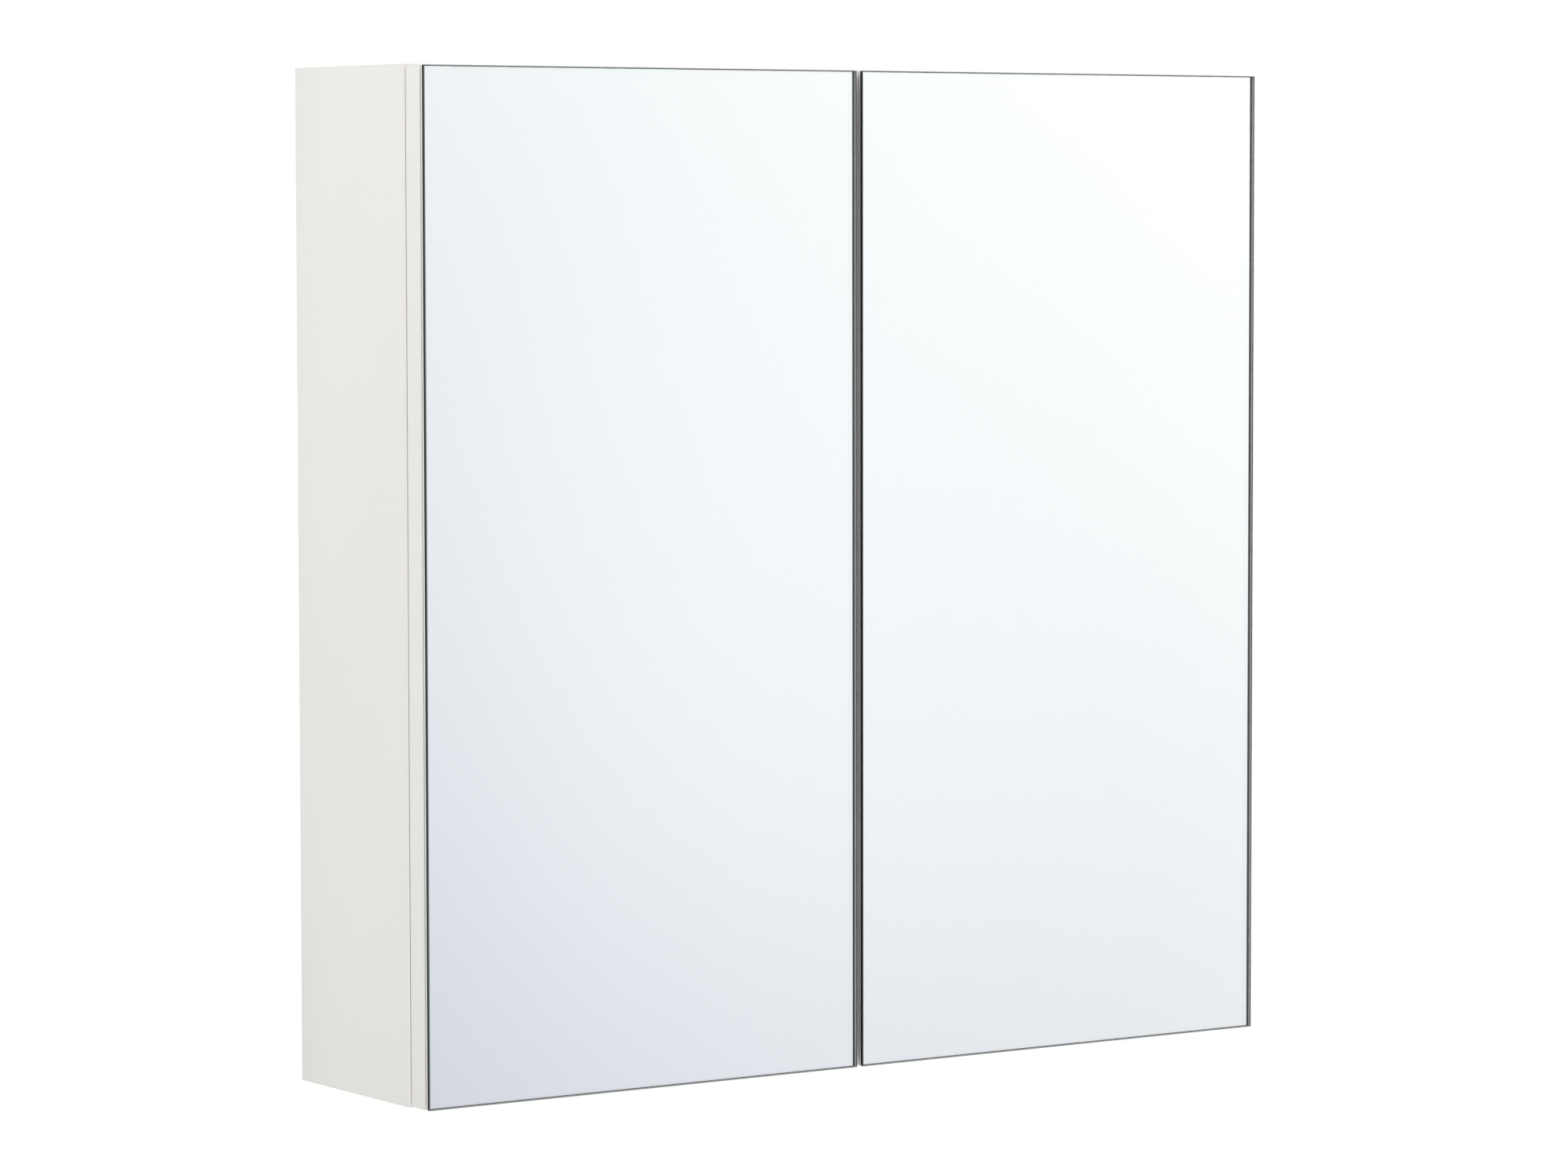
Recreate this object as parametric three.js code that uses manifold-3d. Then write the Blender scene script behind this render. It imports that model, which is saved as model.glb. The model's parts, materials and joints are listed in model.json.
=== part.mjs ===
// Hanging wall cabinet with two mirrored doors.
// Millimetres, +Z up, +X to the right of a person who faces the doors, +Y into the wall.
// The wall is the plane y = 0. The origin is at mid-width, on the line where the hooks hang.
import * as THREE from 'three';
import { mergeVertices } from 'three/addons/utils/BufferGeometryUtils.js';
import Module from 'manifold-3d';

const wasm = await Module();
wasm.setup();

// Overall size and where the hanging line lies in it
const width = 600;
const height = 600;
const depth = 150;
const hangingLineDrop = 50;

// Sheet and board thicknesses, from the front backwards
const glassThickness = 4;
const tapeThickness = 1;
const boardThickness = 16;
const doorGap = 3;
const backThickness = 3;

// Doors
const middleGap = 4;
const reveal = 1;
const arris = 0.8;
const tapeInset = 2;
const tapeWidth = 14;

// Inside
const grooveDepth = 6;
const grooveRear = 12;
const backSlack = 0.5;
const shelfSlack = 0.5;
const shelfSetBack = 14;
const shelvesPerBay = 2;
const pinHoleRadius = 2.6;
const pinRadius = 2.4;
const pinHoleDepth = 9;
const pinReach = 8;
const pinTongue = { length: 9, width: 8, thickness: 3 };
const pinRowFront = 30;
const pinRowRear = 24;
const pinPitch = 32;

// Hinges: a 35 mm cup with one pin, an arm and its mounting plate
const hingeInset = 100;
const cupRadius = 17.5;
const cupDepth = 13.6;
const cupWall = 0.8;
const cupTab = 3;
const cupFlange = { radius: 18, thickness: 1, halfLength: 30, width: 12, screwSpacing: 48, offset: 6 };
const pivotFromEdge = 7;
const pivotFromBack = 9.6;
const hingePinRadius = 1.2;
const armThickness = 2.2;
const armHalfWidth = 4;
const armEyeRadius = 2.3;
const plateThickness = 3.5;
const plateSetBack = 37;
const armLength = 66;

// Hangers: a housing in each top corner, a hook and its wall plate
const housing = { width: 20, depth: 42, top: 0.5, height: 47, wall: 4 };
const hookThickness = 3;
const hookTravel = 4;
const wallPlate = { thickness: 2, offset: 7, drop: 44, width: 38, holeRadius: 3 };

// Planes that the pieces share
const topZ = hangingLineDrop;
const bottomZ = topZ - height;
const outerX = width / 2;
const innerX = outerX - boardThickness;
const frontY = -depth;
const tapeY = frontY + glassThickness;
const doorFrontY = tapeY + tapeThickness;
const doorBackY = doorFrontY + boardThickness;
const carcassFrontY = doorBackY + doorGap;
const backFrontY = -grooveRear - backThickness;
const ceilingZ = topZ - boardThickness;
const floorZ = bottomZ + boardThickness;
const bayHeight = (ceilingZ - floorZ - shelvesPerBay * boardThickness) / (shelvesPerBay + 1);

const white = { color: 0xebeae6, roughness: 0.45, metalness: 0 };
const steel = { color: 0xb9bcc0, roughness: 0.32, metalness: 0.95 };
const plastic = { color: 0xe4e4e1, roughness: 0.5, metalness: 0 };
const mirror = { color: 0xe6ecef, roughness: 0.03, metalness: 1 };
const tape = { color: 0x8d8a84, roughness: 0.8, metalness: 0 };
const clear = { color: 0xdfe3e2, roughness: 0.35, metalness: 0 };

const sides = [['left', -1], ['right', 1]];
const levels = ['lower', 'upper'];

const cabinet = new THREE.Group();

function place(parent, name, geometry, look) {
  const mesh = new THREE.Mesh(geometry, new THREE.MeshStandardMaterial(look));
  mesh.name = name;
  parent.add(mesh);
  return mesh;
}

// A box between two opposite corners
function block(x0, x1, y0, y1, z0, z1) {
  const geometry = new THREE.BoxGeometry(Math.abs(x1 - x0), Math.abs(y1 - y0), Math.abs(z1 - z0));
  return geometry.translate((x0 + x1) / 2, (y0 + y1) / 2, (z0 + z1) / 2);
}

// A cylinder that runs along one axis from start to end, with its other two coordinates given
function rod(axis, start, end, centre, radius, segments = 16) {
  const geometry = new THREE.CylinderGeometry(radius, radius, Math.abs(end - start), segments);
  const middle = (start + end) / 2;
  if (axis === 'x') geometry.rotateZ(Math.PI / 2).translate(middle, centre[0], centre[1]);
  if (axis === 'y') geometry.translate(centre[0], middle, centre[1]);
  if (axis === 'z') geometry.rotateX(Math.PI / 2).translate(centre[0], centre[1], middle);
  return geometry;
}

// An outline drawn in the two axes after the given one, extruded along that axis
function prism(axis, outline, start, end, options = {}) {
  const shape = new THREE.Shape(outline.map(([a, b]) => new THREE.Vector2(a, b)));
  const geometry = new THREE.ExtrudeGeometry(shape, {
    depth: Math.abs(end - start), bevelEnabled: false, ...options,
  });
  const x = new THREE.Vector3(1, 0, 0);
  const y = new THREE.Vector3(0, 1, 0);
  const z = new THREE.Vector3(0, 0, 1);
  const basis = new THREE.Matrix4();
  if (axis === 'x') basis.makeBasis(y, z, x);
  if (axis === 'y') basis.makeBasis(z, x, y);
  geometry.translate(0, 0, Math.min(start, end));
  return geometry.applyMatrix4(basis);
}

// The outline of a strip of even thickness, bent to a radius at each inner point of its path
function bentStrip(path, radius, thickness, steps = 4) {
  const centre = [];
  const points = path.map(([a, b]) => new THREE.Vector2(a, b));
  points.forEach((point, i) => {
    if (i === 0 || i === points.length - 1) {
      const other = points[i === 0 ? 1 : i - 1];
      const along = i === 0 ? other.clone().sub(point) : point.clone().sub(other);
      centre.push([point, along.normalize()]);
      return;
    }
    const from = point.clone().sub(points[i - 1]).normalize();
    const to = points[i + 1].clone().sub(point).normalize();
    const turn = Math.atan2(from.cross(to), from.dot(to));
    const cut = radius * Math.tan(Math.abs(turn) / 2);
    const start = point.clone().addScaledVector(from, -cut);
    const side = new THREE.Vector2(-from.y, from.x).multiplyScalar(Math.sign(turn) * radius);
    const hub = start.clone().add(side);
    for (let k = 0; k <= steps; k += 1) {
      const angle = (turn * k) / steps;
      const spoke = start.clone().sub(hub).rotateAround(new THREE.Vector2(), angle);
      centre.push([hub.clone().add(spoke), from.clone().rotateAround(new THREE.Vector2(), angle)]);
    }
  });
  const offset = (sign) => centre.map(([point, along]) => [
    point.x - (sign * along.y * thickness) / 2,
    point.y + (sign * along.x * thickness) / 2,
  ]);
  return [...offset(1), ...offset(-1).reverse()];
}

function rectangle(a0, a1, b0, b1) {
  return [[a0, b0], [a1, b0], [a1, b1], [a0, b1]];
}

// A rectangle with its corners rounded
function roundedRectangle(a0, a1, b0, b1, radius, steps = 4) {
  const corners = [[a1, b0, -1, 1, -90], [a1, b1, -1, -1, 0], [a0, b1, 1, -1, 90], [a0, b0, 1, 1, 180]];
  return corners.flatMap(([a, b, da, db, from]) => Array.from({ length: steps + 1 }, (_, k) => {
    const angle = THREE.MathUtils.degToRad(from + (90 * k) / steps);
    return [a + da * radius + radius * Math.cos(angle), b + db * radius + radius * Math.sin(angle)];
  }));
}

function solid(geometry) {
  const bare = geometry.clone();
  bare.deleteAttribute('normal');
  bare.deleteAttribute('uv');
  const merged = mergeVertices(bare, 1e-4);
  return new wasm.Manifold(new wasm.Mesh({
    numProp: 3,
    vertProperties: new Float32Array(merged.attributes.position.array),
    triVerts: new Uint32Array(merged.index.array),
  }));
}

// The first geometry with the added ones joined to it and the removed ones cut from it
function shaped(base, added = [], removed = []) {
  let body = solid(base);
  added.forEach((piece) => { body = body.add(solid(piece)); });
  removed.forEach((piece) => { body = body.subtract(solid(piece)); });
  const mesh = body.getMesh();
  const geometry = new THREE.BufferGeometry();
  geometry.setAttribute('position', new THREE.BufferAttribute(new Float32Array(mesh.vertProperties), 3));
  geometry.setIndex(new THREE.BufferAttribute(new Uint32Array(mesh.triVerts), 1));
  geometry.computeVertexNormals();
  return geometry;
}

// Underside of a shelf, counted from the cabinet's floor
function shelfUnderside(level) {
  return floorZ + bayHeight * (level + 1) + boardThickness * level;
}

function pinAxisZ(level) {
  return shelfUnderside(level) - pinTongue.thickness;
}

function pinRows() {
  return [carcassFrontY + pinRowFront, backFrontY - pinRowRear];
}

// Heights of the three holes that each pin can be set in
function pinHoleHeights(level) {
  return [-1, 0, 1].map((step) => pinAxisZ(level) + step * pinPitch);
}

function pinHoles(start, end) {
  return levels.flatMap((_, level) => pinHoleHeights(level).flatMap(
    (z) => pinRows().map((y) => rod('x', start, end, [y, z], pinHoleRadius, 12)),
  ));
}

function sidePanel(s) {
  const grooveX = s * (innerX + grooveDepth);
  const outline = [
    [s * outerX, carcassFrontY], [s * innerX, carcassFrontY], [s * innerX, backFrontY - 0.2],
    [grooveX, backFrontY - 0.2], [grooveX, -grooveRear], [s * innerX, -grooveRear],
    [s * innerX, 0], [s * outerX, 0],
  ];
  const board = prism('z', outline, bottomZ, topZ);
  return shaped(board, [], pinHoles(s * (innerX - 1), s * (innerX + pinHoleDepth)));
}

// The top and bottom boards lie between the sides; each has the groove on its inner face
function endPanel(innerZ, outerZ) {
  const grooveZ = innerZ + Math.sign(outerZ - innerZ) * grooveDepth;
  const outline = [
    [carcassFrontY, outerZ], [carcassFrontY, innerZ], [backFrontY - 0.2, innerZ],
    [backFrontY - 0.2, grooveZ], [-grooveRear, grooveZ], [-grooveRear, innerZ], [0, innerZ], [0, outerZ],
  ];
  return prism('x', outline, -innerX, innerX);
}

function centrePartition() {
  const half = boardThickness / 2;
  const board = block(-half, half, carcassFrontY, backFrontY - shelfSlack, floorZ, ceilingZ);
  return shaped(board, [], pinHoles(-half - 1, half + 1));
}

// The back sits in the grooves, with a notch in each top corner for the hook
function backPanel() {
  const x = innerX + grooveDepth - backSlack;
  const low = floorZ - grooveDepth + backSlack;
  const high = ceilingZ + grooveDepth - backSlack;
  const notchX = innerX - housing.width - 2;
  const notchZ = -18;
  const outline = [
    [low, -x], [notchZ, -x], [notchZ, -notchX], [high, -notchX],
    [high, notchX], [notchZ, notchX], [notchZ, x], [low, x],
  ];
  return prism('y', outline, backFrontY, -grooveRear);
}

function shelf(s, level) {
  const z = shelfUnderside(level);
  return block(
    s * (boardThickness / 2 + shelfSlack), s * (innerX - shelfSlack),
    carcassFrontY + shelfSetBack, backFrontY - shelfSlack, z, z + boardThickness,
  );
}

function pinTongueBlock(y, level, start, end) {
  const z = shelfUnderside(level);
  const half = pinTongue.width / 2;
  return block(start, end, y - half, y + half, z - pinTongue.thickness, z);
}

// A pin in a side board, with the tongue that a shelf lies on
function sideShelfPin(s, y, level) {
  const pin = rod('x', s * (innerX + pinReach), s * (innerX - 1), [y, pinAxisZ(level)], pinRadius, 12);
  const tongue = pinTongueBlock(y, level, s * innerX, s * (innerX - pinTongue.length));
  return shaped(pin, [tongue]);
}

// A pin right through the partition, with a tongue on each side of it
function throughShelfPin(y, level) {
  const half = boardThickness / 2;
  const pin = rod('x', -half - 1, half + 1, [y, pinAxisZ(level)], pinRadius, 12);
  const tongues = [-1, 1].map((s) => pinTongueBlock(y, level, s * half, s * (half + pinTongue.length)));
  return shaped(pin, tongues);
}

const doorLow = bottomZ + reveal;
const doorHigh = topZ - reveal;
const doorInner = middleGap / 2;
const cupCentreX = outerX - cupTab - cupRadius;
const pivotX = outerX - pivotFromEdge;
const pivotY = doorBackY - pivotFromBack;
const hingeHeights = [doorLow + hingeInset, doorHigh - hingeInset];

function doorBoard(s) {
  const board = block(s * doorInner, s * outerX, doorFrontY, doorBackY, doorLow, doorHigh);
  const bores = hingeHeights.map((z) => rod(
    'y', doorBackY - cupDepth - 0.2, doorBackY + 1, [s * cupCentreX, z], cupRadius + 0.2, 40,
  ));
  return shaped(board, [], bores);
}

// The frame of double-sided tape that the glass is stuck with
function mirrorTape(s) {
  const near = s * (doorInner + tapeInset);
  const far = s * (outerX - tapeInset);
  const low = doorLow + tapeInset;
  const high = doorHigh - tapeInset;
  const ring = block(near, far, tapeY, doorFrontY, low, high);
  const window = block(
    near + s * tapeWidth, far - s * tapeWidth, tapeY - 1, doorFrontY + 1, low + tapeWidth, high - tapeWidth,
  );
  return shaped(ring, [], [window]);
}

function mirrorPane(s) {
  const outline = rectangle(doorLow, doorHigh, s * doorInner, s * outerX);
  const pane = prism('y', outline, 0, glassThickness - 2 * arris, {
    bevelEnabled: true, bevelThickness: arris, bevelSize: arris, bevelOffset: -arris, bevelSegments: 1,
  });
  return pane.translate(0, frontY + arris, 0);
}

function doorBumper(s, z) {
  return rod('y', doorBackY, carcassFrontY - 0.3, [s * (doorInner + 4.5), z], 4);
}

// The pot of the hinge: a round cup, its flange and the two cheeks that hold the pin
function hingeCup(s, z) {
  const x = s * cupCentreX;
  const rim = doorBackY + cupFlange.thickness;
  const low = doorBackY - cupDepth;
  const floor = low + cupWall;
  const inner = cupRadius - cupWall;
  const profile = [
    [0, low], [cupRadius, low], [cupRadius, doorBackY], [cupFlange.radius, doorBackY],
    [cupFlange.radius, rim], [inner, rim], [inner, floor], [0, floor],
  ].map(([r, y]) => new THREE.Vector2(r, y));
  const pot = new THREE.LatheGeometry(profile, 40).translate(x, 0, z);
  const earX = x - s * cupFlange.offset;
  const half = cupFlange.width / 2;
  const length = cupFlange.halfLength;
  const ear = prism('y', roundedRectangle(z - length, z + length, earX - half, earX + half, 4), doorBackY, rim);
  const mouth = rod('y', floor, rim + 1, [x, z], inner, 40);
  const cheeks = [-1, 1].map((side) => {
    const plate = block(
      s * (pivotX + 4), s * (pivotX - 2.8), floor - 0.2, pivotY + 3,
      z + side * (armHalfWidth + 0.5), z + side * 10,
    );
    const room = rod('y', low + 0.2, rim, [x, z], cupRadius - 0.2, 40);
    const body = solid(plate).intersect(solid(room)).getMesh();
    const geometry = new THREE.BufferGeometry();
    geometry.setAttribute('position', new THREE.BufferAttribute(new Float32Array(body.vertProperties), 3));
    geometry.setIndex(new THREE.BufferAttribute(new Uint32Array(body.triVerts), 1));
    return geometry;
  });
  const pinHole = rod('z', z - 8.6, z + 8.6, [s * pivotX, pivotY], hingePinRadius + 0.15, 12);
  const screwHoles = [-1, 1].map((side) => rod(
    'y', doorBackY - 1, rim + 1, [earX, z + (side * cupFlange.screwSpacing) / 2], 2.2, 12,
  ));
  const bowl = shaped(pot, [ear], [mouth]);
  return shaped(bowl, cheeks, [pinHole, ...screwHoles]);
}

function hingePin(s, z) {
  return rod('z', z - 8, z + 8, [s * pivotX, pivotY], hingePinRadius, 12);
}

// The arm runs from the pin across the cup, turns back, and carries the channel for its screws
function hingeArm(s, z) {
  const strapX = innerX - plateThickness - armThickness / 2;
  const rearY = carcassFrontY + armLength;
  const centreLine = [[s * pivotX, pivotY], [s * strapX, pivotY], [s * strapX, rearY]];
  const strap = prism('z', bentStrip(centreLine, 2.4, armThickness, 5), z - armHalfWidth, z + armHalfWidth);
  const eye = rod('z', z - armHalfWidth, z + armHalfWidth, [s * pivotX, pivotY], armEyeRadius, 20);
  const channelFront = carcassFrontY + 14;
  const base = innerX - plateThickness;
  const channel = block(s * base, s * (base - 9), channelFront, rearY, z - 7, z + 7);
  const hollow = block(
    s * (base - armThickness), s * (base - 7.5), channelFront - 1, rearY + 1, z - 5.5, z + 5.5,
  );
  const bore = rod('z', z - 5, z + 5, [s * pivotX, pivotY], hingePinRadius + 0.25, 12);
  const screwWindows = armScrewPositions().map((y) => rod('x', s * (base - 6.5), s * (base - 10), [y, z], 3.6, 16));
  return shaped(shaped(strap, [eye, channel]), [], [hollow, bore, ...screwWindows]);
}

function armScrewPositions() {
  return [carcassFrontY + 26, carcassFrontY + 50];
}

// The plate on the side board: a bar under the arm with a wing above and below
function mountingPlate(s, z) {
  const wingY = carcassFrontY + plateSetBack;
  const face = s * innerX;
  const front = s * (innerX - plateThickness);
  const bar = prism('x', roundedRectangle(carcassFrontY + 16, carcassFrontY + 64, z - 7.5, z + 7.5, 3), face, front);
  const wings = prism('x', roundedRectangle(wingY - 8, wingY + 8, z - 25, z + 25, 5), face, front);
  const holes = [-1, 1].map((side) => rod(
    'x', s * (innerX + 1), s * (innerX - plateThickness - 1), [wingY, z + side * 16], 2.7, 12,
  ));
  return shaped(bar, [wings], holes);
}

const hookX = innerX - housing.width / 2;

// The housing is open at the back, where the hook comes out of it
function hangerHousing(s) {
  const high = ceilingZ - housing.top;
  const low = high - housing.height;
  const rear = backFrontY - 1;
  const front = rear - housing.depth;
  const outer = prism('y', roundedRectangle(low, high, s * hookX - 10, s * hookX + 10, 2, 3), front, rear);
  const hollow = block(
    s * hookX - 6, s * hookX + 6, front + housing.wall, rear + 1, low + housing.wall, high - housing.wall - 3,
  );
  const holes = hangerScrewHeights().map((z) => rod('y', front - 1, front + housing.wall + 1, [s * hookX, z], 3));
  return shaped(outer, [], [hollow, ...holes]);
}

function hangerScrewHeights() {
  return [0, 18];
}

function hangerScrew(s, z) {
  const front = backFrontY - 1 - housing.depth;
  const head = rod('y', front - 2.2, front - 0.2, [s * hookX, z], 4);
  const shank = rod('y', front - 1, front + housing.wall + 1.5, [s * hookX, z], 2.7);
  const cross = [0, 1].map((turned) => block(
    s * hookX - (turned ? 0.5 : 2.4), s * hookX + (turned ? 0.5 : 2.4), front - 3, front - 1.4,
    z - (turned ? 2.4 : 0.5), z + (turned ? 2.4 : 0.5),
  ));
  return shaped(head, [shank], cross);
}

// The hook's neck lies on the wall plate's top edge, and its tip goes down behind it
function hangerHook(s) {
  const tail = backFrontY - 1 - housing.depth + housing.wall + 2;
  const outline = [
    [tail, -3], [-26, -3], [-22, 0], [-6, 0], [-5.5, -11], [-4.8, -12], [-2.4, -12], [-1.6, -11],
    [-1.6, 10], [-4, 13], [-22, 13], [-26, 20], [tail, 20],
  ];
  return prism('x', outline, s * hookX - hookThickness / 2, s * hookX + hookThickness / 2);
}

function hangerWallPlate(s) {
  const half = wallPlate.thickness / 2;
  const path = [
    [-half, -wallPlate.drop], [-half, -20], [-wallPlate.offset, -14], [-wallPlate.offset, 0],
  ];
  const near = innerX - 2;
  const far = near - wallPlate.width;
  const sheet = prism('x', bentStrip(path, 2.5, wallPlate.thickness), s * near, s * far);
  const holes = [near - 10, far + 10].map((x) => rod('y', -4, 1, [s * x, -33], wallPlate.holeRadius));
  return shaped(sheet, [], holes);
}

function addCarcass(group) {
  sides.forEach(([side, s]) => place(group, `side_panel_${side}`, sidePanel(s), white));
  place(group, 'top_panel', endPanel(ceilingZ, topZ), white);
  place(group, 'bottom_panel', endPanel(floorZ, bottomZ), white);
  place(group, 'centre_partition', centrePartition(), white);
  place(group, 'back_panel', backPanel(), white);
}

function addShelves(group) {
  levels.forEach((height_, level) => {
    sides.forEach(([side, s]) => place(group, `shelf_${side}_${height_}`, shelf(s, level), white));
    pinRows().forEach((y, row) => {
      const where = `${height_}_${row === 0 ? 'front' : 'rear'}`;
      sides.forEach(([side, s]) => {
        place(group, `shelf_pin_${side}_${where}`, sideShelfPin(s, y, level), steel);
      });
      place(group, `shelf_pin_middle_${where}`, throughShelfPin(y, level), steel);
    });
  });
}

function addDoor(group, side, s) {
  place(group, `door_board_${side}`, doorBoard(s), white);
  place(group, `mirror_tape_${side}`, mirrorTape(s), tape);
  place(group, `mirror_${side}`, mirrorPane(s), mirror);
  hingeHeights.forEach((z, i) => {
    place(group, `hinge_cup_${side}_${levels[i]}`, hingeCup(s, z), steel);
    place(group, `hinge_pin_${side}_${levels[i]}`, hingePin(s, z), steel);
  });
  [doorLow + 40, doorHigh - 40].forEach((z, i) => {
    place(group, `door_bumper_${side}_${levels[i]}`, doorBumper(s, z), clear);
  });
}

function addHinges(group, side, s) {
  hingeHeights.forEach((z, i) => {
    place(group, `hinge_plate_${side}_${levels[i]}`, mountingPlate(s, z), steel);
    place(group, `hinge_arm_${side}_${levels[i]}`, hingeArm(s, z), steel);
  });
}

function addHanger(group, side, s) {
  place(group, `hanger_housing_${side}`, hangerHousing(s), plastic);
  place(group, `hanger_hook_${side}`, hangerHook(s), steel);
  place(group, `wall_plate_${side}`, hangerWallPlate(s), steel);
  hangerScrewHeights().forEach((z, i) => {
    place(group, `hanger_screw_${side}_${levels[i]}`, hangerScrew(s, z), steel);
  });
}

addCarcass(cabinet);
addShelves(cabinet);
sides.forEach(([side, s]) => {
  const door = new THREE.Group();
  addDoor(door, side, s);
  cabinet.add(door);
  addHinges(cabinet, side, s);
  addHanger(cabinet, side, s);
});

export default cabinet;
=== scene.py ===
"""A hanging wall cabinet with two mirrored doors, finished for a studio view. Lengths are in metres.

X runs from the left door to the right door, Y from the mirrors to the wall, and Z up.
"""
import json
import math

import bmesh
import bpy
from mathutils import Matrix, Vector

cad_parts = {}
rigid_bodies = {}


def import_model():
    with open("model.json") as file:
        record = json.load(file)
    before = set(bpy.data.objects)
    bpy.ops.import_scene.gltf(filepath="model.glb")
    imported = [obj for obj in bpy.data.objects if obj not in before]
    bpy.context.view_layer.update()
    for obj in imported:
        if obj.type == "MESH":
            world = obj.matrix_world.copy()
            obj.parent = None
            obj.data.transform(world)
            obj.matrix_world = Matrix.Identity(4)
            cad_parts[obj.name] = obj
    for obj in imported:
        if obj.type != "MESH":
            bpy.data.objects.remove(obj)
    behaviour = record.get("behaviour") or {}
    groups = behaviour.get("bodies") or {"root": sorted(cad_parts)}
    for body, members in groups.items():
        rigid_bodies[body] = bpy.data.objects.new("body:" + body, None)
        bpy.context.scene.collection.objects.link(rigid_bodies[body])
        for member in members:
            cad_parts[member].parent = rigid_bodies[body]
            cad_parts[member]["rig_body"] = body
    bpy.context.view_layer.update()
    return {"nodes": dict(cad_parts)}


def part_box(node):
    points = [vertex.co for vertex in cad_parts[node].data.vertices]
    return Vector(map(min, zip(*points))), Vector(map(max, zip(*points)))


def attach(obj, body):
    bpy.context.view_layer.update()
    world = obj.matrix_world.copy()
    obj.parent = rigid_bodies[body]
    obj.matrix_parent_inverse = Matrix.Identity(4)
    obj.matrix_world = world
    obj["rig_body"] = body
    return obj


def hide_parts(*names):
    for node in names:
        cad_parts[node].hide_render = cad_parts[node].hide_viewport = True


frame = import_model()

MM = 0.001
SIDES = {"left": -1, "right": 1}
LEVELS = ("lower", "upper")


# ---------------------------------------------------------------- node building

def fill(node, inputs):
    """Sets or links the sockets of a node, by name or by number."""
    for key, value in inputs.items():
        socket = node.inputs[key]
        if isinstance(value, Value):
            value = value.socket
        if isinstance(value, bpy.types.NodeSocket):
            node.id_data.links.new(value, socket)
        elif isinstance(value, (list, tuple)) and len(value) == 3 and socket.type == "RGBA":
            socket.default_value = (*value, 1.0)
        else:
            socket.default_value = value


def add_node(tree, kind, settings=None, inputs=None):
    """One node of any type: its settings first, then its sockets."""
    node = tree.nodes.new(kind)
    for key, value in (settings or {}).items():
        setattr(node, key, value)
    fill(node, inputs or {})
    return node


def mixed(tree, factor, first, second, clamped=True):
    """A colour between two colours, which may be fixed or worked out."""
    node = add_node(tree, "ShaderNodeMix", {"data_type": "RGBA", "clamp_factor": clamped})
    # The colour sockets share their names with others, so they go by number.
    fill(node, {0: factor, 6: first, 7: second})
    return node.outputs[2]


class Value:
    """A number that a shader works out at each point, so that maths on it reads as Python."""

    def __init__(self, socket):
        self.socket = socket

    def math(self, operation, *others):
        inputs = dict(enumerate((self, *others)))
        node = add_node(self.socket.id_data, "ShaderNodeMath", {"operation": operation}, inputs)
        return Value(node.outputs[0])

    def __add__(self, other):
        return self.math("ADD", other)

    def __mul__(self, other):
        return self.math("MULTIPLY", other)

    def __sub__(self, other):
        return self.math("SUBTRACT", other)

    def __rsub__(self, other):
        tree = self.socket.id_data
        node = add_node(tree, "ShaderNodeMath", {"operation": "SUBTRACT"}, {0: other, 1: self})
        return Value(node.outputs[0])

    def __truediv__(self, other):
        return self.math("DIVIDE", other)

    __radd__ = __add__
    __rmul__ = __mul__

    def __abs__(self):
        return self.math("ABSOLUTE")

    def least(self, other):
        return self.math("MINIMUM", other)

    def most(self, other):
        return self.math("MAXIMUM", other)

    def between(self, low, high):
        """0 below low, 1 above high, and smooth in between."""
        node = add_node(
            self.socket.id_data, "ShaderNodeMapRange", {"interpolation_type": "SMOOTHSTEP"},
            {"Value": self, "From Min": low, "From Max": high},
        )
        return Value(node.outputs["Result"])


class Finish:
    """A material and the few patterns that its surface is made of."""

    def __init__(self, name):
        self.material = bpy.data.materials.new(name)
        self.material.use_nodes = True
        self.tree = self.material.node_tree
        self.tree.nodes.clear()
        self.shader = self.node("ShaderNodeBsdfPrincipled")
        self.node("ShaderNodeOutputMaterial", inputs={"Surface": self.shader.outputs[0]})
        self.place = self.node("ShaderNodeTexCoord").outputs["Object"]

    def node(self, kind, settings=None, inputs=None):
        return add_node(self.tree, kind, settings, inputs)

    def axes(self):
        parts = self.node("ShaderNodeSeparateXYZ", inputs={0: self.place})
        return [Value(parts.outputs[i]) for i in range(3)]

    def stretched(self, scale, turn=(0, 0, 0)):
        return self.node(
            "ShaderNodeMapping", inputs={"Vector": self.place, "Scale": scale, "Rotation": turn},
        ).outputs[0]

    def noise(self, scale, detail=2.0, roughness=0.5, place=None):
        """Soft noise with about scale waves to the metre, from 0 to 1."""
        node = self.node("ShaderNodeTexNoise", inputs={
            "Vector": place or self.place, "Scale": scale, "Detail": detail, "Roughness": roughness,
        })
        return Value(node.outputs[0])

    def cells(self, scale):
        """Small round hollows, about scale of them to the metre."""
        node = self.node("ShaderNodeTexVoronoi", {"feature": "F1"}, {"Vector": self.place, "Scale": scale})
        return Value(node.outputs["Distance"])

    def mix(self, factor, first, second):
        return mixed(self.tree, factor, first, second)

    def relief(self, *layers):
        """Bumps stacked from (height, depth in metres) layers, coarse first."""
        normal = None
        for height, depth in layers:
            node = self.node("ShaderNodeBump", inputs={
                "Height": height, "Distance": depth, "Strength": 1.0,
            })
            if normal is not None:
                fill(node, {"Normal": normal})
            normal = node.outputs[0]
        fill(self.shader, {"Normal": normal})

    def edge_distance(self, low, high):
        """How far a point on a box's surface is from the nearest edge of that box."""
        gaps = [abs(axis - a).least(abs(axis - b)) for axis, a, b in zip(self.axes(), low, high)]
        total = gaps[0] + gaps[1] + gaps[2]
        largest = gaps[0].most(gaps[1]).most(gaps[2])
        smallest = gaps[0].least(gaps[1]).least(gaps[2])
        return total - largest - smallest

    def set(self, **sockets):
        fill(self.shader, {key.replace("_", " "): value for key, value in sockets.items()})
        return self.material


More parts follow.
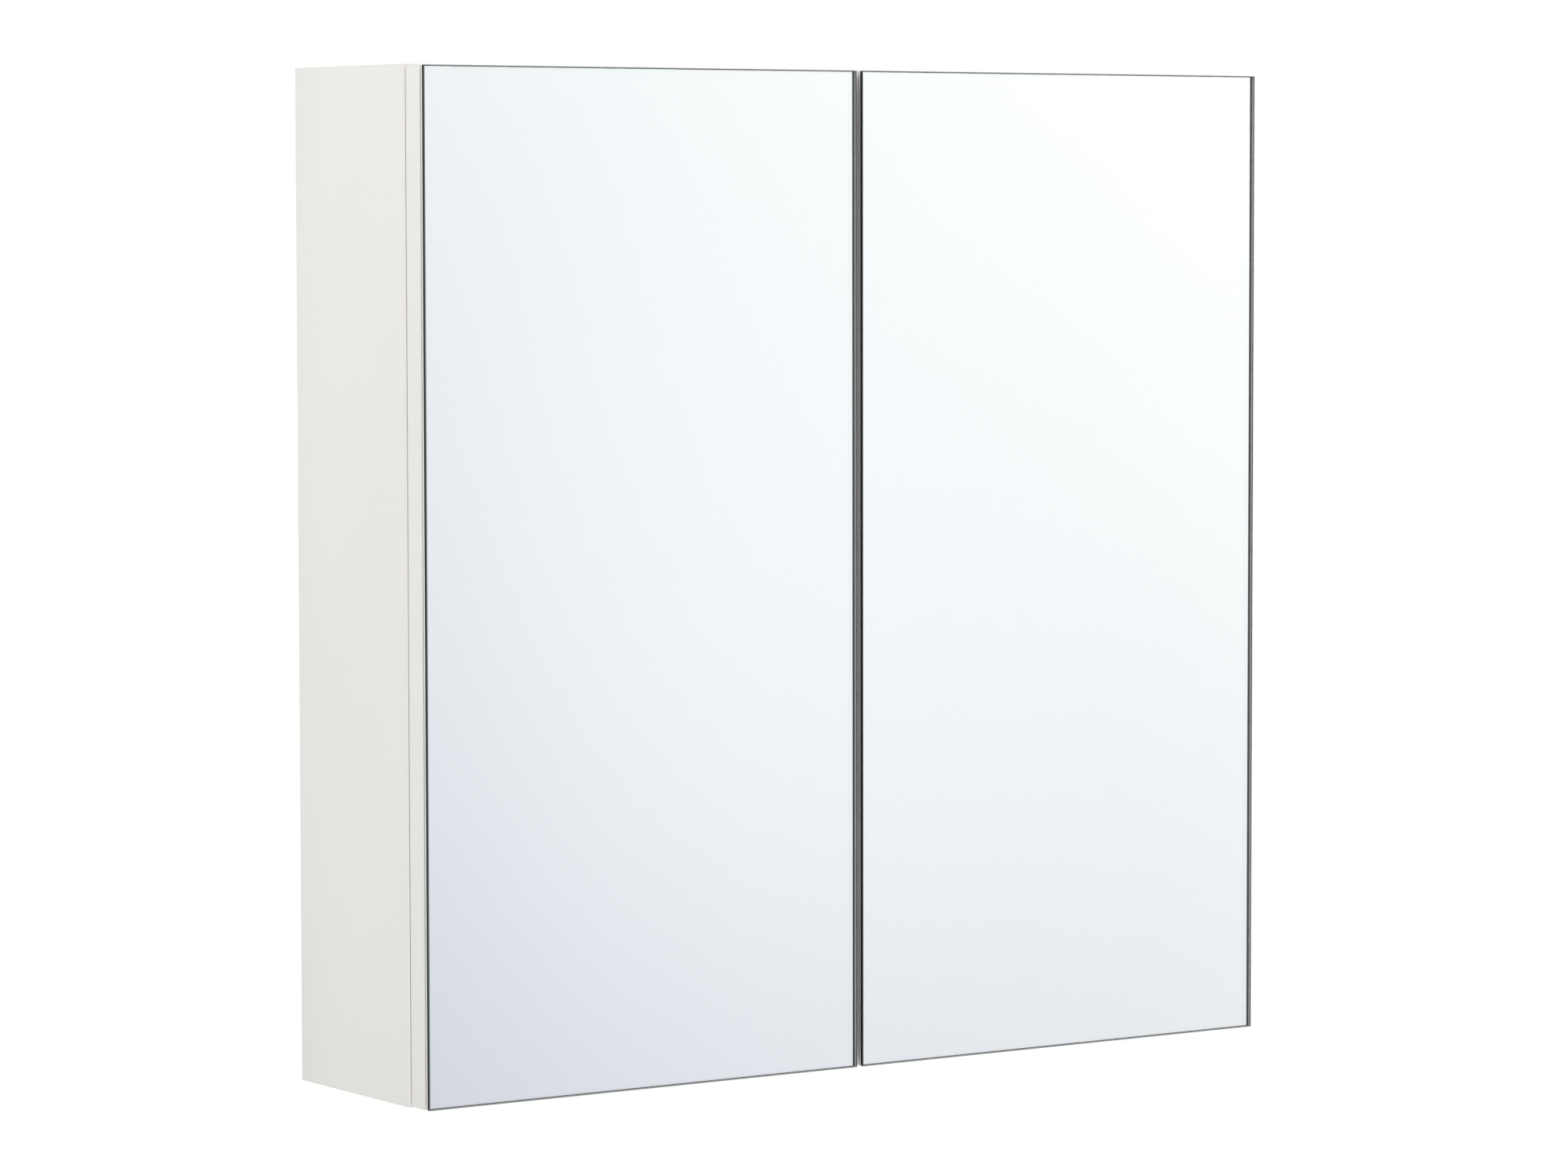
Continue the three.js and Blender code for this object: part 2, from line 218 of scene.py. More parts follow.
# ---------------------------------------------------------------- finishes

def pressed_texture(finish):
    """The pearl and the fine grain that a press plate leaves in melamine. Gives the pearl back."""
    pearl = finish.noise(420, 3, 0.55)
    finish.relief((pearl, 0.012 * MM), (finish.noise(1500, 2), 0.006 * MM))
    return pearl


def melamine(name, box, light, shade):
    """White melamine on chipboard: a pearl grain, faint clouds and a thin glue line at the edge band."""
    band_thickness, glue_width, rubbed_width = 0.8 * MM, 0.22 * MM, 0.9 * MM
    finish = Finish(name)
    clouds = finish.noise(5, 3).between(0.3, 0.7)
    fibres = finish.noise(38, 4, 0.6, finish.stretched((1, 1, 0.25)))
    colour = finish.mix(clouds * 0.55 + fibres * 0.25, light, shade)
    edge = finish.edge_distance(*box)
    glue = (1 - abs(edge - band_thickness).between(0.0, glue_width)) * 0.4
    colour = finish.mix(glue, colour, [part * 0.72 for part in shade])
    rub = (1 - edge.between(0.0, rubbed_width)) * finish.noise(120, 3).between(0.45, 0.7)
    colour = finish.mix(rub * 0.18, colour, (0.62, 0.59, 0.54))
    pearl = pressed_texture(finish)
    dullness = 0.36 + fibres * 0.08 + pearl * 0.05 + rub * 0.15
    return finish.set(Base_Color=colour, Roughness=dullness, IOR=1.5)


def plain_melamine(name, light, shade):
    """White melamine for the boards inside, with no glue line."""
    finish = Finish(name)
    clouds = finish.noise(7, 3).between(0.3, 0.7)
    fibres = finish.noise(40, 4, 0.6, finish.stretched((0.25, 1, 1)))
    pressed_texture(finish)
    colour = finish.mix(clouds * 0.5 + fibres * 0.3, light, shade)
    return finish.set(Base_Color=colour, Roughness=0.38 + fibres * 0.1, IOR=1.5)


def edge_band():
    """The soft plastic of an edge band."""
    finish = Finish("edge_band_plastic")
    clouds = finish.noise(9, 3)
    pearl = finish.noise(420, 3, 0.55)
    finish.relief((pearl, 0.01 * MM))
    colour = finish.mix(clouds, WARM_WHITE[0], WARM_WHITE[1])
    return finish.set(Base_Color=colour, Roughness=0.4 + pearl * 0.1)


def hardboard():
    """The thin back: a white paint film over pressed fibre."""
    finish = Finish("back_hardboard_white")
    fibre = finish.noise(260, 5, 0.7, finish.stretched((1, 1, 0.4)))
    clouds = finish.noise(6, 2)
    screen_marks = finish.cells(700)
    finish.relief((fibre, 0.05 * MM), (screen_marks, 0.02 * MM))
    colour = finish.mix(fibre * 0.5 + clouds * 0.3, (0.80, 0.79, 0.76), (0.70, 0.69, 0.655))
    return finish.set(Base_Color=colour, Roughness=0.55 + fibre * 0.15)


def steel(name, light, shade, roughness, along=(1, 1, 14)):
    """Plated pressed steel with drawing marks along one way and a little dulling."""
    finish = Finish(name)
    marks = finish.noise(90, 4, 0.65, finish.stretched(along))
    stains = finish.noise(60, 3).between(0.35, 0.7)
    finish.relief((marks, 0.01 * MM), (finish.noise(1300, 2), 0.006 * MM))
    colour = finish.mix(marks * 0.5 + stains * 0.35, light, shade)
    dullness = roughness + marks * 0.12 + stains * 0.08
    return finish.set(Base_Color=colour, Metallic=1.0, Roughness=dullness)


def silvering(name, box):
    """The silver layer of a mirror, black along its very edge and a little dull next to that."""
    black_width, silver_from, clear_from = 0.25 * MM, 0.5 * MM, 3.0 * MM
    finish = Finish(name)
    edge = finish.edge_distance(*box)
    creep = finish.noise(160, 3) * black_width
    black = 1 - (edge - creep).between(black_width, silver_from)
    dulling = 1 - edge.between(0.3 * MM, clear_from)
    veil = finish.noise(3, 3).between(0.35, 0.75)
    wipe = finish.noise(11, 5, 0.6, finish.stretched((1, 1, 0.3), (0, math.radians(35), 0)))
    colour = finish.mix(veil * 0.12, (0.965, 0.972, 0.972), (0.94, 0.955, 0.955))
    colour = finish.mix(dulling * 0.12, colour, (0.62, 0.66, 0.65))
    colour = finish.mix(black * 0.92, colour, (0.03, 0.035, 0.033))
    dullness = 0.01 + wipe * 0.015 + dulling * 0.04 + black * 0.3
    return finish.set(Base_Color=colour, Metallic=1.0, Roughness=dullness)


def float_glass():
    """Clear float glass with the faint green of its iron, and the haze of wiping on its face."""
    finish = Finish("float_glass")
    haze = finish.noise(14, 4, 0.6, finish.stretched((1, 1, 0.4), (0, math.radians(28), 0)))
    tint = finish.mix(haze, (0.985, 0.995, 0.99), (0.975, 0.988, 0.983))
    return finish.set(Base_Color=tint, Roughness=haze * 0.004, IOR=1.52, Transmission_Weight=1.0)


def pane_rim(box):
    """The polished rim of a pane: nearly black, with frosty ground corners and a pale seam at the back,
    which is partly the edge of the pale back paint and partly a painted highlight.
    """
    ground_corner, polished_from = 0.3 * MM, 0.45 * MM
    polished_to, seam_from = 2.5 * MM, 2.65 * MM
    finish = Finish("pane_rim")
    grit = finish.noise(900, 3, 0.6)
    ripples = finish.noise(150, 3, 0.6, finish.stretched((1, 4, 1)))
    depth = finish.axes()[1] - box[0].y
    # The pale seam is partly the edge of the pale back paint and partly a painted highlight. It is kept near
    # white so that it still shows bright in the shaded gap between the doors.
    pale = (depth + ripples * 0.2 * MM).between(polished_to, seam_from)
    corner = 1 - depth.between(ground_corner, polished_from)
    dark = finish.mix(corner * (0.6 + grit * 0.4), (0.010, 0.015, 0.013), (0.24, 0.26, 0.25))
    # The near-white of the seam is back paint lightened into a painted highlight.
    colour = finish.mix(pale, dark, finish.mix(grit, (0.93, 0.94, 0.93), (0.80, 0.82, 0.81)))
    finish.relief((grit, 0.01 * MM))
    dullness = 0.12 + ripples * 0.08 + corner * 0.45 + pale * 0.4
    return finish.set(Base_Color=colour, Roughness=dullness, IOR=1.15)


def foam_tape():
    """Grey double-sided foam tape, with open pores in its cut edge."""
    finish = Finish("grey_foam_tape")
    pores = finish.cells(900)
    dirt = finish.noise(45, 4)
    finish.relief((pores, 0.08 * MM))
    colour = finish.mix(pores * 0.6 + dirt * 0.4, (0.30, 0.29, 0.28), (0.17, 0.165, 0.16))
    return finish.set(Base_Color=colour, Roughness=0.85 - pores * 0.1)


def moulded_plastic():
    """The white plastic of the hanger housings, with the fine texture of a spark-eroded mould."""
    finish = Finish("white_moulded_plastic")
    spark = finish.cells(1300)
    flow = finish.noise(30, 3)
    finish.relief((spark, 0.02 * MM))
    colour = finish.mix(flow, (0.80, 0.80, 0.785), (0.73, 0.73, 0.715))
    return finish.set(Base_Color=colour, Roughness=0.42 + spark * 0.12)


def soft_clear():
    """The clear soft plastic of a bumper."""
    finish = Finish("clear_soft_bumper")
    swirl = finish.noise(500, 3)
    finish.relief((swirl, 0.01 * MM))
    colour = finish.mix(swirl, (0.93, 0.95, 0.94), (0.85, 0.87, 0.86))
    dullness = 0.18 + swirl * 0.12
    return finish.set(Base_Color=colour, Roughness=dullness, IOR=1.45, Transmission_Weight=0.75)


def studio_floor():
    """Pale painted paper or board."""
    finish = Finish("studio_floor")
    clouds = finish.noise(0.6, 4)
    grit = finish.noise(60, 3)
    colour = finish.mix(clouds, (0.95, 0.95, 0.94), (0.91, 0.91, 0.905))
    finish.relief((grit, 0.2 * MM))
    return finish.set(Base_Color=colour, Roughness=0.7 + grit * 0.1)


# ---------------------------------------------------------------- shapes

def finished(name, mesh, material, body, replaced=(), second=None):
    """Turns a mesh into a piece that moves with a body. All its faces start on the first material."""
    piece = bpy.data.objects.new(name, mesh)
    bpy.context.scene.collection.objects.link(piece)
    mesh.materials.clear()
    for surface in filter(None, (material, second)):
        mesh.materials.append(surface)
    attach(piece, body)
    if replaced:
        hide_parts(*replaced)
    return piece


def slab(low, high, chamfer=0):
    """A box between two corners, with its edges ground off by a chamfer if it has one."""
    mesh = bpy.data.meshes.new("slab")
    work = bmesh.new()
    size = Vector(high) - Vector(low)
    middle = (Vector(high) + Vector(low)) / 2
    place = Matrix.Translation(middle) @ Matrix.Diagonal((*size, 1.0))
    bmesh.ops.create_cube(work, size=1.0, matrix=place)
    if chamfer:
        bmesh.ops.bevel(work, geom=work.edges[:], offset=chamfer, segments=1, profile=0.5, affect="EDGES")
    bmesh.ops.recalc_face_normals(work, faces=work.faces[:])
    work.to_mesh(mesh)
    work.free()
    return mesh


def turned(profile, centre, facing, segments):
    """A profile of (radius, height) turned round an axis that points along facing."""
    mesh = bpy.data.meshes.new("turned")
    work = bmesh.new()
    turn = Vector((0, 0, 1)).rotation_difference(Vector(facing)).to_matrix().to_4x4()
    place = Matrix.Translation(centre) @ turn
    rings = []
    for radius, height in profile:
        if radius == 0:
            rings.append([work.verts.new(place @ Vector((0, 0, height)))])
            continue
        angles = [2 * math.pi * i / segments for i in range(segments)]
        ring = [Vector((radius * math.cos(angle), radius * math.sin(angle), height)) for angle in angles]
        rings.append([work.verts.new(place @ point) for point in ring])
    for lower, upper in zip(rings, rings[1:]):
        for i in range(segments):
            j = (i + 1) % segments
            corners = [ring[k % len(ring)] for ring, k in ((lower, i), (lower, j), (upper, j), (upper, i))]
            work.faces.new(list(dict.fromkeys(corners)))
    bmesh.ops.recalc_face_normals(work, faces=work.faces[:])
    work.to_mesh(mesh)
    work.free()
    mesh.shade_smooth()
    return mesh


# ---------------------------------------------------------------- fasteners, by Geometry Nodes

FASTENER_SIZES = ("Head Radius", "Top Radius", "Head Height", "Drive Length", "Drive Width", "Drive Depth")


def fastener_tree():
    """Heads with a cross drive on the points, each standing along its facing and turned at random."""
    tree = bpy.data.node_groups.new("fastener_heads", "GeometryNodeTree")
    face = tree.interface
    face.new_socket("Geometry", in_out="INPUT", socket_type="NodeSocketGeometry")
    for label in FASTENER_SIZES:
        face.new_socket(label, in_out="INPUT", socket_type="NodeSocketFloat")
    face.new_socket("Sides", in_out="INPUT", socket_type="NodeSocketInt")
    face.new_socket("Seed", in_out="INPUT", socket_type="NodeSocketInt")
    face.new_socket("Finish", in_out="INPUT", socket_type="NodeSocketMaterial")
    face.new_socket("Geometry", in_out="OUTPUT", socket_type="NodeSocketGeometry")
    start = add_node(tree, "NodeGroupInput").outputs

    skirt = add_node(tree, "GeometryNodeMeshCylinder", {"fill_type": "NGON"}, {
        "Vertices": start["Sides"], "Radius": start["Head Radius"], "Depth": start["Head Height"],
    })
    dome = add_node(tree, "GeometryNodeMeshCone", {"fill_type": "NGON"}, {
        "Vertices": start["Sides"], "Radius Top": start["Top Radius"], "Radius Bottom": start["Head Radius"],
        "Depth": start["Head Height"],
    })
    half = add_node(tree, "ShaderNodeMath", {"operation": "MULTIPLY"}, {0: start["Head Height"], 1: 0.5})
    lift = add_node(tree, "ShaderNodeCombineXYZ", inputs={"Z": half.outputs[0]})
    raised = add_node(tree, "GeometryNodeTransform", inputs={
        "Geometry": dome.outputs["Mesh"], "Translation": lift.outputs[0],
    })
    head = add_node(tree, "GeometryNodeMeshBoolean", {"operation": "UNION"}, {
        "Mesh 2": skirt.outputs["Mesh"],
    })
    tree.links.new(raised.outputs[0], head.inputs["Mesh 2"])

    top = add_node(tree, "ShaderNodeMath", {"operation": "MULTIPLY"}, {0: start["Head Height"], 1: 1.5})
    tall = add_node(tree, "ShaderNodeMath", {"operation": "MULTIPLY"}, {0: start["Drive Depth"], 1: 2.0})
    raise_drive = add_node(tree, "ShaderNodeCombineXYZ", inputs={"Z": top.outputs[0]})
    cutters = []
    for long_side in ("X", "Y"):
        other = "Y" if long_side == "X" else "X"
        size = add_node(tree, "ShaderNodeCombineXYZ", inputs={
            long_side: start["Drive Length"], other: start["Drive Width"], "Z": tall.outputs[0],
        })
        bar = add_node(tree, "GeometryNodeMeshCube", inputs={"Size": size.outputs[0]})
        moved = add_node(tree, "GeometryNodeTransform", inputs={
            "Geometry": bar.outputs["Mesh"], "Translation": raise_drive.outputs[0],
        })
        cutters.append(moved.outputs[0])
    cut = add_node(tree, "GeometryNodeMeshBoolean", {"operation": "DIFFERENCE"}, {
        "Mesh 1": head.outputs["Mesh"],
    })
    for cutter in cutters:
        tree.links.new(cutter, cut.inputs["Mesh 2"])

    facing = add_node(tree, "GeometryNodeInputNamedAttribute", {"data_type": "FLOAT_VECTOR"}, {
        "Name": "facing",
    })
    upright = add_node(tree, "FunctionNodeAlignRotationToVector", {"axis": "Z"}, {
        "Vector": facing.outputs["Attribute"],
    })
    spin = add_node(tree, "FunctionNodeRandomValue", {"data_type": "FLOAT"}, {"Seed": start["Seed"]})
    # The least and the most turn. These sockets share their names with others, so they go by number.
    fill(spin, {2: 0.0, 3: math.pi})
    about = add_node(tree, "ShaderNodeCombineXYZ", inputs={"Z": spin.outputs[1]})
    turn = add_node(tree, "FunctionNodeEulerToRotation", inputs={"Euler": about.outputs[0]})
    set_by = add_node(tree, "FunctionNodeRotateRotation", {"rotation_space": "LOCAL"}, {
        "Rotation": upright.outputs[0], "Rotate By": turn.outputs[0],
    })
    copies = add_node(tree, "GeometryNodeInstanceOnPoints", inputs={
        "Points": start["Geometry"], "Instance": cut.outputs["Mesh"], "Rotation": set_by.outputs[0],
    })
    real = add_node(tree, "GeometryNodeRealizeInstances", inputs={"Geometry": copies.outputs[0]})
    painted = add_node(tree, "GeometryNodeSetMaterial", inputs={
        "Geometry": real.outputs[0], "Material": start["Finish"],
    })
    add_node(tree, "NodeGroupOutput", inputs={"Geometry": painted.outputs[0]})
    return tree


def fasteners(name, tree, places, sizes, material, body, seed, sides=24):
    """One piece of heads at places, a list of (point, facing). Sizes are in the order of FASTENER_SIZES."""
    points = bpy.data.meshes.new(name + "_points")
    points.from_pydata([tuple(point) for point, _ in places], [], [])
    facing = points.attributes.new("facing", "FLOAT_VECTOR", "POINT")
    for i, (_, direction) in enumerate(places):
        facing.data[i].vector = direction
    holder = bpy.data.objects.new(name + "_holder", points)
    bpy.context.scene.collection.objects.link(holder)
    modifier = holder.modifiers.new("heads", "NODES")
    modifier.node_group = tree
    values = dict(zip(FASTENER_SIZES, sizes), Sides=sides, Seed=seed, Finish=material)
    for item in tree.interface.items_tree:
        if item.in_out == "INPUT" and item.name in values:
            modifier[item.identifier] = values[item.name]
    bpy.context.view_layer.update()
    result = bpy.data.meshes.new_from_object(holder.evaluated_get(bpy.context.evaluated_depsgraph_get()))
    bpy.data.objects.remove(holder)
    return finished(name, result, material, body)


# ---------------------------------------------------------------- finishes on the cabinet's own nodes

WARM_WHITE = ((0.795, 0.775, 0.745), (0.765, 0.742, 0.705))
DOOR_WHITE = ((0.785, 0.768, 0.742), (0.75, 0.730, 0.700))


def paint(node, material):
    """Gives a node that keeps its own shape a material."""
    slots = frame["nodes"][node].data.materials
    slots.clear()
    slots.append(material)


def eased(node, material, rounding, shortest=5 * MM):
    """A copy of a node with its long sharp edges rounded over, as sanding or tumbling leaves them."""
    merging, flat = 0.002 * MM, math.radians(0.5)
    sharp_from, shaded_sharp_from = math.radians(50), math.radians(25)
    mesh = bpy.data.meshes.new(node + "_eased")
    work = bmesh.new()
    work.from_mesh(frame["nodes"][node].data)
    bmesh.ops.remove_doubles(work, verts=work.verts[:], dist=merging)
    bmesh.ops.dissolve_limit(work, angle_limit=flat, verts=work.verts[:], edges=work.edges[:])
    sharp = [
        edge for edge in work.edges if len(edge.link_faces) == 2
        and edge.calc_face_angle(0) > sharp_from and edge.calc_length() > shortest
    ]
    bmesh.ops.bevel(
        work, geom=sharp, offset=rounding, segments=2, profile=0.5, affect="EDGES", clamp_overlap=True,
    )
    bmesh.ops.recalc_face_normals(work, faces=work.faces[:])
    work.to_mesh(mesh)
    work.free()
    imported_normals = mesh.attributes.get("custom_normal")
    if imported_normals:
        mesh.attributes.remove(imported_normals)
    mesh.shade_smooth()
    mesh.set_sharp_from_angle(angle=shaded_sharp_from)
    return finished(node + "_eased", mesh, material, frame["nodes"][node]["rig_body"], (node,))


def finish_boards():
    """Eases every board but the back. Short edges, such as those of pin holes, stay sharp."""
    soft, crisp, shortest = 0.35 * MM, 0.3 * MM, 12 * MM
    for side in SIDES:
        node = f"side_panel_{side}"
        surface = melamine(f"side_board_{side}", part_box(node), *WARM_WHITE)
        eased(node, surface, soft, shortest)
        node = f"door_board_{side}"
        surface = melamine(node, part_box(node), *DOOR_WHITE)
        eased(node, surface, crisp, shortest)
    for node in ("top_panel", "bottom_panel"):
        surface = melamine(node + "_board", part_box(node), *WARM_WHITE)
        eased(node, surface, crisp, shortest)
    inside = plain_melamine("inside_board", *WARM_WHITE)
    eased("centre_partition", inside, crisp, shortest)
    for side in SIDES:
        for level in LEVELS:
            eased(f"shelf_{side}_{level}", inside, soft)
    paint("back_panel", hardboard())


def finish_metal():
    """Finishes the hinges, pins and hangers, and gives back the platings that their screws share."""
    shortest = 2.5 * MM
    nickel = steel("nickel_plate", (0.74, 0.73, 0.71), (0.58, 0.57, 0.555), 0.22)
    zinc = steel("zinc_plate", (0.70, 0.72, 0.74), (0.50, 0.52, 0.55), 0.3, (14, 1, 1))
    bright = steel("bright_pin", (0.78, 0.77, 0.75), (0.62, 0.61, 0.6), 0.18, (1, 14, 1))
    plastic = moulded_plastic()
    for node in frame["nodes"]:
        if node.startswith(("hinge_arm", "hinge_plate")):
            eased(node, nickel, 0.15 * MM, shortest)
        elif node.startswith("hinge_cup"):
            eased(node, nickel, 0.12 * MM, shortest)
        elif node.startswith("hinge_pin"):
            paint(node, bright)
        elif node.startswith("shelf_pin"):
            eased(node, bright, 0.3 * MM, shortest)
        elif node.startswith("hanger_housing"):
            eased(node, plastic, 0.4 * MM)
        elif node.startswith(("hanger_hook", "wall_plate")):
            eased(node, zinc, 0.2 * MM, shortest)
        elif node.startswith("hanger_screw"):
            paint(node, zinc)
    return nickel, zinc


# ---------------------------------------------------------------- mirrors and small parts

def mirror(side, glass):
    """A pane of float glass, clear on its two broad faces and dark round its rim, and its silvering."""
    chamfer, silver_thickness, parting, inset = 0.4 * MM, 0.10 * MM, 0.03 * MM, 0.25 * MM
    low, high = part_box(f"mirror_{side}")
    body = f"door_{side}"
    silver_front = high.y - silver_thickness
    pane = slab(low, Vector((high.x, silver_front - parting, high.z)), chamfer)
    rim = pane_rim((low, high))
    finished(f"glass_pane_{side}", pane, glass, body, (f"mirror_{side}",), rim)
    for face in pane.polygons:
        is_broad = abs(face.normal.y) > 0.999
        face.material_index = 0 if is_broad else 1
    silver_low = Vector((low.x + inset, silver_front, low.z + inset))
    silver_high = Vector((high.x - inset, high.y, high.z - inset))
    silver = silvering(f"silver_{side}", (silver_low, silver_high))
    finished(f"silvering_{side}", slab(silver_low, silver_high), silver, body)


def edge_lip(side, material):
    """The lip of the edge band on a side board's front edge. It all but closes the seam behind the door."""
    # How far each point is inward of the board's outer face and forward of its front edge, in millimetres.
    outline = ((0.02, 0.0), (0.02, 2.0), (0.2, 2.2), (0.55, 2.1), (1.0, 1.7), (1.3, 0.0))
    short_by = 0.4 * MM
    outward = SIDES[side]
    low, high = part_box(f"side_panel_{side}")
    outer = high.x if outward > 0 else low.x
    profile = [(outer - outward * inward * MM, low.y - forward * MM) for inward, forward in outline]
    mesh = bpy.data.meshes.new("edge_lip")
    work = bmesh.new()
    ends = [[work.verts.new((x, y, z)) for x, y in profile] for z in (low.z + short_by, high.z - short_by)]
    for end in ends:
        work.faces.new(end)
    for i in range(len(profile)):
        j = (i + 1) % len(profile)
        work.faces.new((ends[0][i], ends[0][j], ends[1][j], ends[1][i]))
    bmesh.ops.recalc_face_normals(work, faces=work.faces[:])
    work.to_mesh(mesh)
    work.free()
    return finished(f"edge_band_lip_{side}", mesh, material, "cabinet")


def bumper(side, level, material):
    """A dome on a short straight skirt, stuck to the back of a door."""
    skirt, steps, round_segments = 0.25, 7, 24
    node = f"door_bumper_{side}_{level}"
    low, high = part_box(node)
    radius = (high.x - low.x) / 2
    tall = high.y - low.y
    centre = Vector(((low.x + high.x) / 2, low.y, (low.z + high.z) / 2))
    profile = [(0, 0), (radius, 0), (radius, skirt * tall)]
    for i in range(1, steps):
        angle = math.pi / 2 * i / steps
        profile.append((radius * math.cos(angle), tall * (skirt + (1 - skirt) * math.sin(angle))))
    profile.append((0, tall))
    finished(
        f"soft_bumper_{side}_{level}", turned(profile, centre, (0, 1, 0), round_segments), material,
        f"door_{side}", (node,),
    )


# Sizes of the heads, in the order of FASTENER_SIZES.
PLATE_HEAD = (3.6 * MM, 2.6 * MM, 1.3 * MM, 3.6 * MM, 0.8 * MM, 1.1 * MM)
CUP_HEAD = (3.0 * MM, 2.3 * MM, 0.8 * MM, 3.2 * MM, 0.75 * MM, 0.7 * MM)
ARM_HEAD = (3.1 * MM, 2.6 * MM, 1.6 * MM, 4.0 * MM, 0.9 * MM, 1.4 * MM)
WALL_HEAD = (4.4 * MM, 3.2 * MM, 1.2 * MM, 4.6 * MM, 1.0 * MM, 1.2 * MM)
CAM_HEAD = (7.5 * MM, 7.1 * MM, 0.4 * MM, 6.4 * MM, 1.3 * MM, 0.45 * MM)


def hinge_screws(tree, nickel):
    """The screws of the mounting plates' wings, and those of the arms on the plates."""
    wing_back, wing_rise, head_lift = 37 * MM, 16 * MM, 0.1 * MM
    arm_backs, arm_lift = (26 * MM, 50 * MM), 2.35 * MM
    plate_heads, arm_heads = [], []
    for side, outward in SIDES.items():
        inward = Vector((-outward, 0, 0))
        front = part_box(f"side_panel_{side}")[0].y
        for level in LEVELS:
            low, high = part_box(f"hinge_plate_{side}_{level}")
            z = (low.z + high.z) / 2
            face = high.x if outward < 0 else low.x
            for rise in (-wing_rise, wing_rise):
                point = Vector((face, front + wing_back, z + rise)) + inward * head_lift
                plate_heads.append((point, inward))
            for back in arm_backs:
                arm_heads.append((Vector((face - outward * arm_lift, front + back, z)), inward))
    fasteners("hinge_plate_screws", tree, plate_heads, PLATE_HEAD, nickel, "cabinet", seed=21)
    fasteners("hinge_arm_screws", tree, arm_heads, ARM_HEAD, nickel, "cabinet", seed=31)


def cup_screws(tree, side, nickel, seed):
    """Two screws through the ears of each cup on one door."""
    ear_inset, ear_rise = 26.5 * MM, 24 * MM
    outward = SIDES[side]
    low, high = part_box(f"door_board_{side}")
    x = (low.x if outward < 0 else high.x) - outward * ear_inset
    heads = []
    for level in LEVELS:
        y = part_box(f"hinge_cup_{side}_{level}")[1].y
        plate_low, plate_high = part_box(f"hinge_plate_{side}_{level}")
        z = (plate_low.z + plate_high.z) / 2
        heads += [(Vector((x, y, z + rise)), Vector((0, 1, 0))) for rise in (-ear_rise, ear_rise)]
    fasteners(f"cup_screws_{side}", tree, heads, CUP_HEAD, nickel, f"door_{side}", seed)


def wall_screws(tree, side, zinc, seed):
    """Two screws that hold one wall plate to the wall."""
    plate_thickness, height, from_end = 2.0 * MM, -33 * MM, 10 * MM
    low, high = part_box(f"wall_plate_{side}")
    y = high.y - plate_thickness
    ends = (low.x + from_end, high.x - from_end)
    heads = [(Vector((x, y, height)), Vector((0, -1, 0))) for x in ends]
    fasteners(f"wall_screws_{side}", tree, heads, WALL_HEAD, zinc, f"hanger_{side}", seed)


def cam_connectors(tree, zinc):
    """The heads that draw the top and the bottom board to the sides and the partition."""
    from_joint, near_front, near_back = 33 * MM, 32 * MM, 96 * MM
    side_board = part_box("side_panel_right")[0]
    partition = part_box("centre_partition")[1].x
    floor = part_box("bottom_panel")[1].z
    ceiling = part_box("top_panel")[0].z
    heads = []
    for x in (side_board.x - from_joint, partition + from_joint):
        for outward in SIDES.values():
            for back in (near_front, near_back):
                heads.append((Vector((outward * x, side_board.y + back, floor)), Vector((0, 0, 1))))
            heads.append((Vector((outward * x, side_board.y + near_front, ceiling)), Vector((0, 0, -1))))
    fasteners(
        "cam_connectors", tree, heads, CAM_HEAD, zinc, "cabinet", seed=41, sides=36,
    )


# ---------------------------------------------------------------- studio

ROOM_SHADE = (0.663, 0.668, 0.734)
ROOM_LIGHT = (1.093, 1.103, 1.109)
DULL_LIGHT = 0.722
LAMP_COLOUR = (0.985, 0.995, 1.0)


def studio():
    """A pale floor well below the cabinet, four soft lamps, the room around them and the camera."""
    floor_radius, floor_height = 6.0, -1.75
    floor_mesh = bpy.data.meshes.new("floor")
    work = bmesh.new()
    place = Matrix.Translation((0, 0, floor_height))
    bmesh.ops.create_circle(work, cap_ends=True, segments=96, radius=floor_radius, matrix=place)
    work.to_mesh(floor_mesh)
    work.free()
    floor = bpy.data.objects.new("studio_floor", floor_mesh)
    bpy.context.scene.collection.objects.link(floor)
    floor_mesh.materials.append(studio_floor())

    area("window_left", place=(-1.6, -0.9, 1.1), aim=(-0.3, -0.1, -0.2), size=1.0, power=10.0)
    area("ceiling_light", place=(0.2, -1.2, 2.8), aim=(0, 0, -0.3), size=3.0, power=16)
    area("window_right", place=(2.0, -1.2, 0.9), aim=(0.3, -0.1, -0.2), size=1.4, power=18)
    area("window_behind", place=(0.6, 2.4, 0.9), aim=(0, 0, -0.2), size=2.0, power=16)
    surroundings()
    camera()
    bpy.context.scene.view_settings.view_transform = "Standard"
    bpy.context.scene.view_settings.look = "None"


def area(name, place, aim, size, power):
    """A square lamp that lights the cabinet but isn't seen in its mirrors."""
    light = bpy.data.lights.new(name, "AREA")
    light.shape = "SQUARE"
    light.size = size
    light.energy = power
    light.color = LAMP_COLOUR
    lamp = bpy.data.objects.new(name, light)
    lamp.location = place
    lamp.rotation_euler = (Vector(aim) - Vector(place)).to_track_quat("-Z", "Y").to_euler()
    lamp.visible_glossy = False
    lamp.visible_transmission = False
    bpy.context.scene.collection.objects.link(lamp)


